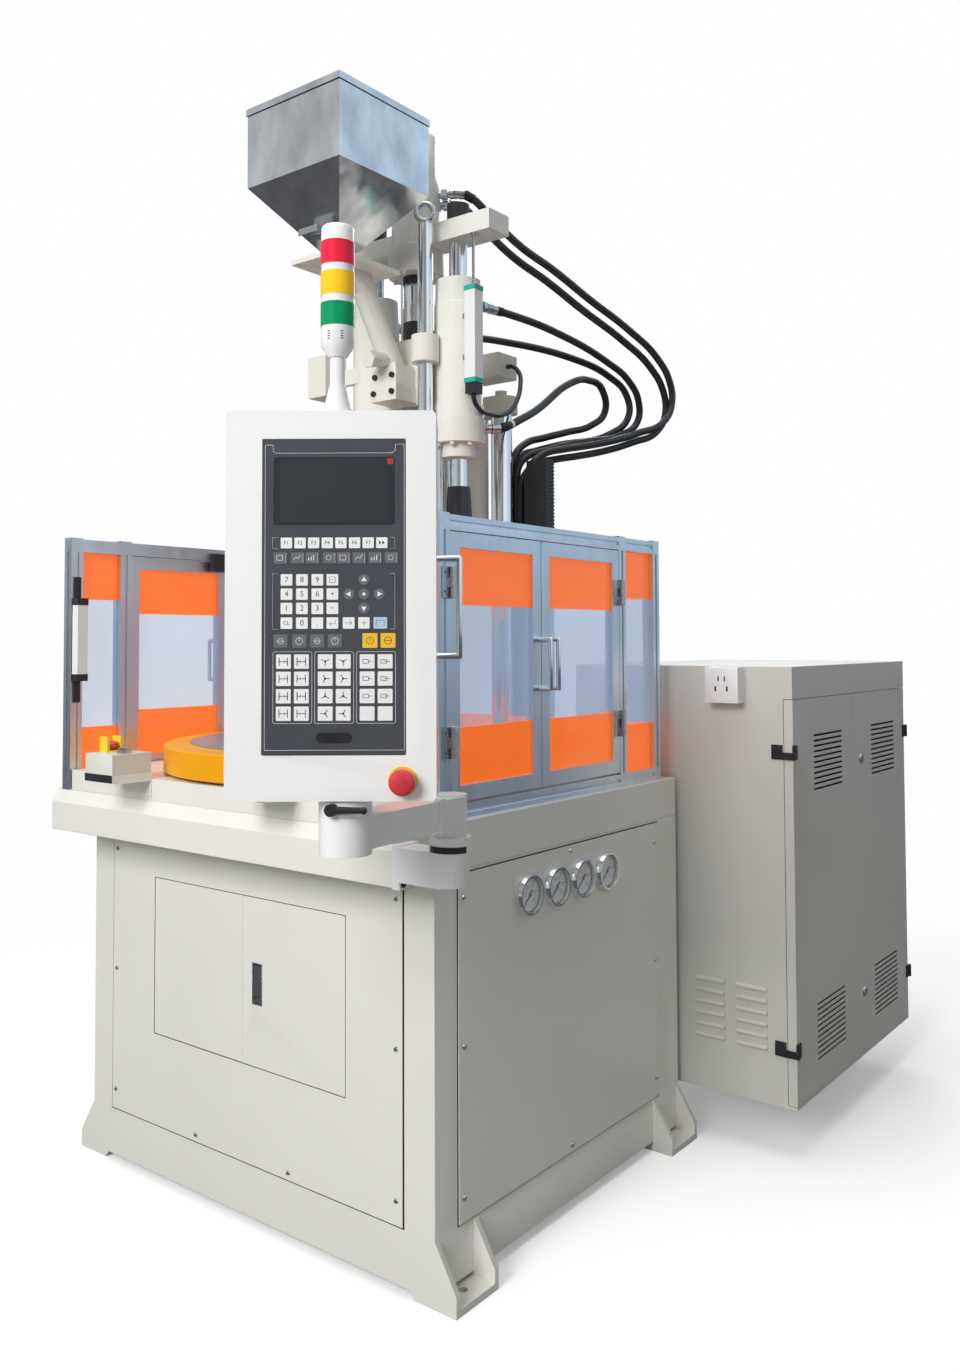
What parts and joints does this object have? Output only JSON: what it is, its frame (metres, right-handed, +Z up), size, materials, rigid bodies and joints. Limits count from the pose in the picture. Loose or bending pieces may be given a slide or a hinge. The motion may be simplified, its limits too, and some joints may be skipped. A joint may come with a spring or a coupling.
{
  "type": "injection moulding machine",
  "caption": "Vertical injection moulding machine: turntable behind a glazed guard, injection unit and hopper above, control panel on a swing arm, cabinet behind.",
  "frame": {"origin": "on the floor, in the middle of the four anchor holes of the base", "axes": "+Z up along the injection axis, -Y towards the operator, +X to the operator's right"},
  "size_m": [1.4115, 2.2866, 2.498],
  "materials": {
    "ivory_paint": "semi-gloss ivory machine enamel",
    "white_shell": "white moulded and powder-coated shells",
    "steel": "ground and machined steel",
    "chrome": "hard-chromed bright rods and polished stainless sheet",
    "aluminium": "clear anodised extrusion",
    "black_plastic": "matt black plastic",
    "rubber": "black hose rubber",
    "pane": "clear and orange acrylic panes",
    "yellow_paint": "orange-yellow enamel",
    "red_plastic": "red moulded plastic",
    "grey_plastic": "dark grey printed fascia film",
    "lamp_plastic": "coloured lamp lenses in a white housing"
  },
  "bodies": {
    "base": {"base_frame": "ivory_paint", "cover_panels": "ivory_paint", "panel_screws": "steel", "work_table": "ivory_paint", "deck_plate": "ivory_paint", "gauges": "steel", "hydraulic_unit": "ivory_paint", "guard_frame": "aluminium", "guard_panes": "pane", "guard_sensors": "black_plastic", "control_boxes": "black_plastic", "cabinet": "ivory_paint", "hose_duct": "black_plastic", "arm_base": "white_shell"},
    "front_door_left": {"front_door_left": "ivory_paint"},
    "front_door_right": {"front_door_right": "ivory_paint"},
    "door_latch": {"door_latch": "steel"},
    "gauge_needle_1": {"gauge_needle_1": "black_plastic"},
    "gauge_needle_2": {"gauge_needle_2": "black_plastic"},
    "gauge_needle_3": {"gauge_needle_3": "black_plastic"},
    "gauge_needle_4": {"gauge_needle_4": "black_plastic"},
    "turntable": {"rotary_table": "steel", "table_rim": "yellow_paint"},
    "clamp": {"upper_platen": "ivory_paint", "tie_bars": "chrome", "guide_rods": "chrome", "rod_boots": "rubber", "seat_cylinder": "ivory_paint"},
    "carriage": {"carriage": "ivory_paint", "injection_cylinders": "ivory_paint", "barrel": "steel", "feed_chute": "ivory_paint", "hopper": "chrome", "hopper_lid": "chrome", "transducer": "aluminium", "unit_hoses": "rubber"},
    "hopper_gate": {"hopper_gate": "steel"},
    "injector": {"crosshead": "ivory_paint", "injection_rods": "chrome", "hydraulic_motor": "ivory_paint", "motor_hoses": "rubber"},
    "screw": {"screw": "steel"},
    "guard_door_right_front": {"guard_door_right_front": "aluminium"},
    "guard_door_right_rear": {"guard_door_right_rear": "aluminium"},
    "guard_door_left_front": {"guard_door_left_front": "aluminium"},
    "guard_door_left_rear": {"guard_door_left_rear": "aluminium"},
    "arm_link": {"arm_link": "white_shell"},
    "hmi": {"hmi_box": "white_shell", "hmi_fascia": "grey_plastic", "signal_tower": "lamp_plastic"},
    "hmi_stop_button": {"hmi_stop_button": "red_plastic"},
    "clamp_lever": {"clamp_lever": "black_plastic"},
    "cabinet_door_front": {"cabinet_door_front": "ivory_paint"},
    "cabinet_door_rear": {"cabinet_door_rear": "ivory_paint"},
    "cabinet_lock_upper": {"cabinet_lock_upper": "steel"},
    "cabinet_lock_lower": {"cabinet_lock_lower": "steel"},
    "start_button_left": {"start_button_left": "steel"},
    "start_button_right": {"start_button_right": "steel"},
    "stop_button_left": {"stop_button_left": "red_plastic"},
    "stop_button_right": {"stop_button_right": "red_plastic"}
  },
  "joints": [
    {"name": "front_door_left_hinge", "type": "hinge", "parent": "base", "child": "front_door_left", "pos_m": [-0.2942, -0.4665, 0.499], "axis": [0, 0, 1], "range_deg": [-115, 0]},
    {"name": "front_door_right_hinge", "type": "hinge", "parent": "base", "child": "front_door_right", "pos_m": [0.3042, -0.4665, 0.499], "axis": [0, 0, 1], "range_deg": [0, 115]},
    {"name": "door_latch_turn", "type": "hinge", "parent": "front_door_right", "child": "door_latch", "pos_m": [0.051, -0.464, 0.529], "axis": [1, 0, 0], "range_deg": [-40, 0], "stiffness_Nm_per_rad": 0.02},
    {"name": "gauge_1", "type": "hinge", "parent": "base", "child": "gauge_needle_1", "pos_m": [0.5395, -0.176, 0.693], "axis": [-1, 0, 0], "range_deg": [0, 270], "stiffness_Nm_per_rad": 0.0005},
    {"name": "gauge_2", "type": "hinge", "parent": "base", "child": "gauge_needle_2", "pos_m": [0.5395, -0.0765, 0.693], "axis": [-1, 0, 0], "range_deg": [0, 270], "stiffness_Nm_per_rad": 0.0005},
    {"name": "gauge_3", "type": "hinge", "parent": "base", "child": "gauge_needle_3", "pos_m": [0.5395, 0.023, 0.693], "axis": [-1, 0, 0], "range_deg": [0, 270], "stiffness_Nm_per_rad": 0.0005},
    {"name": "gauge_4", "type": "hinge", "parent": "base", "child": "gauge_needle_4", "pos_m": [0.5395, 0.1225, 0.693], "axis": [-1, 0, 0], "range_deg": [0, 270], "stiffness_Nm_per_rad": 0.0005},
    {"name": "turntable_turn", "type": "hinge", "parent": "base", "child": "turntable", "pos_m": [0, -0.13, 0.9], "axis": [0, 0, 1], "range_deg": [0, 180]},
    {"name": "clamp_slide", "type": "slide", "parent": "base", "child": "clamp", "axis": [0, 0, 1], "range_m": [-0.2, 0]},
    {"name": "carriage_slide", "type": "slide", "parent": "clamp", "child": "carriage", "axis": [0, 0, 1], "range_m": [-0.02, 0.08]},
    {"name": "hopper_gate_slide", "type": "slide", "parent": "carriage", "child": "hopper_gate", "axis": [0, -1, 0], "range_m": [0, 0.06]},
    {"name": "injection_slide", "type": "slide", "parent": "carriage", "child": "injector", "axis": [0, 0, 1], "range_m": [-0.09, 0.05]},
    {"name": "screw_turn", "type": "hinge", "parent": "injector", "child": "screw", "pos_m": [0, 0.097, 2.06], "axis": [0, 0, 1], "continuous": true},
    {"name": "guard_door_right_front_hinge", "type": "hinge", "parent": "base", "child": "guard_door_right_front", "pos_m": [0.5233, -0.402, 1.156], "axis": [0, 0, 1], "range_deg": [-100, 0]},
    {"name": "guard_door_right_rear_hinge", "type": "hinge", "parent": "base", "child": "guard_door_right_rear", "pos_m": [0.5233, 0.222, 1.156], "axis": [0, 0, 1], "range_deg": [0, 100]},
    {"name": "guard_door_left_front_hinge", "type": "hinge", "parent": "base", "child": "guard_door_left_front", "pos_m": [-0.5233, -0.402, 1.156], "axis": [0, 0, 1], "range_deg": [0, 100]},
    {"name": "guard_door_left_rear_hinge", "type": "hinge", "parent": "base", "child": "guard_door_left_rear", "pos_m": [-0.5233, 0.222, 1.156], "axis": [0, 0, 1], "range_deg": [-100, 0]},
    {"name": "arm_turn", "type": "hinge", "parent": "base", "child": "arm_link", "pos_m": [0.646, -0.56, 0.86], "axis": [0, 0, 1], "range_deg": [-20, 60]},
    {"name": "panel_turn", "type": "hinge", "parent": "arm_link", "child": "hmi", "pos_m": [0.666, -0.834, 0.94], "axis": [0, 0, 1], "range_deg": [-60, 60]},
    {"name": "hmi_stop_press", "type": "slide", "parent": "hmi", "child": "hmi_stop_button", "axis": [-0.6115, 0.7912, 0], "range_m": [0, 0.004], "stiffness_N_per_m": 900},
    {"name": "clamp_lever_turn", "type": "hinge", "parent": "hmi", "child": "clamp_lever", "pos_m": [0.666, -0.834, 0.959], "axis": [0, 0, 1], "range_deg": [0, 30]},
    {"name": "cabinet_door_front_hinge", "type": "hinge", "parent": "base", "child": "cabinet_door_front", "pos_m": [0.829, 0.482, 0.6], "axis": [0, 0, 1], "range_deg": [-110, 0]},
    {"name": "cabinet_door_rear_hinge", "type": "hinge", "parent": "base", "child": "cabinet_door_rear", "pos_m": [0.829, 1.307, 0.6], "axis": [0, 0, 1], "range_deg": [0, 110]},
    {"name": "cabinet_lock_upper_turn", "type": "hinge", "parent": "cabinet_door_rear", "child": "cabinet_lock_upper", "pos_m": [0.825, 0.9425, 0.891], "axis": [1, 0, 0], "range_deg": [0, 90]},
    {"name": "cabinet_lock_lower_turn", "type": "hinge", "parent": "cabinet_door_rear", "child": "cabinet_lock_lower", "pos_m": [0.825, 0.9425, 0.281], "axis": [1, 0, 0], "range_deg": [0, 90]},
    {"name": "start_left_press", "type": "slide", "parent": "base", "child": "start_button_left", "axis": [0, 0, -1], "range_m": [0, 0.004], "stiffness_N_per_m": 600},
    {"name": "stop_left_press", "type": "slide", "parent": "base", "child": "stop_button_left", "axis": [0, 0, -1], "range_m": [0, 0.004], "stiffness_N_per_m": 900},
    {"name": "start_right_press", "type": "slide", "parent": "base", "child": "start_button_right", "axis": [0, 0, -1], "range_m": [0, 0.004], "stiffness_N_per_m": 600},
    {"name": "stop_right_press", "type": "slide", "parent": "base", "child": "stop_button_right", "axis": [0, 0, -1], "range_m": [0, 0.004], "stiffness_N_per_m": 900}
  ]
}
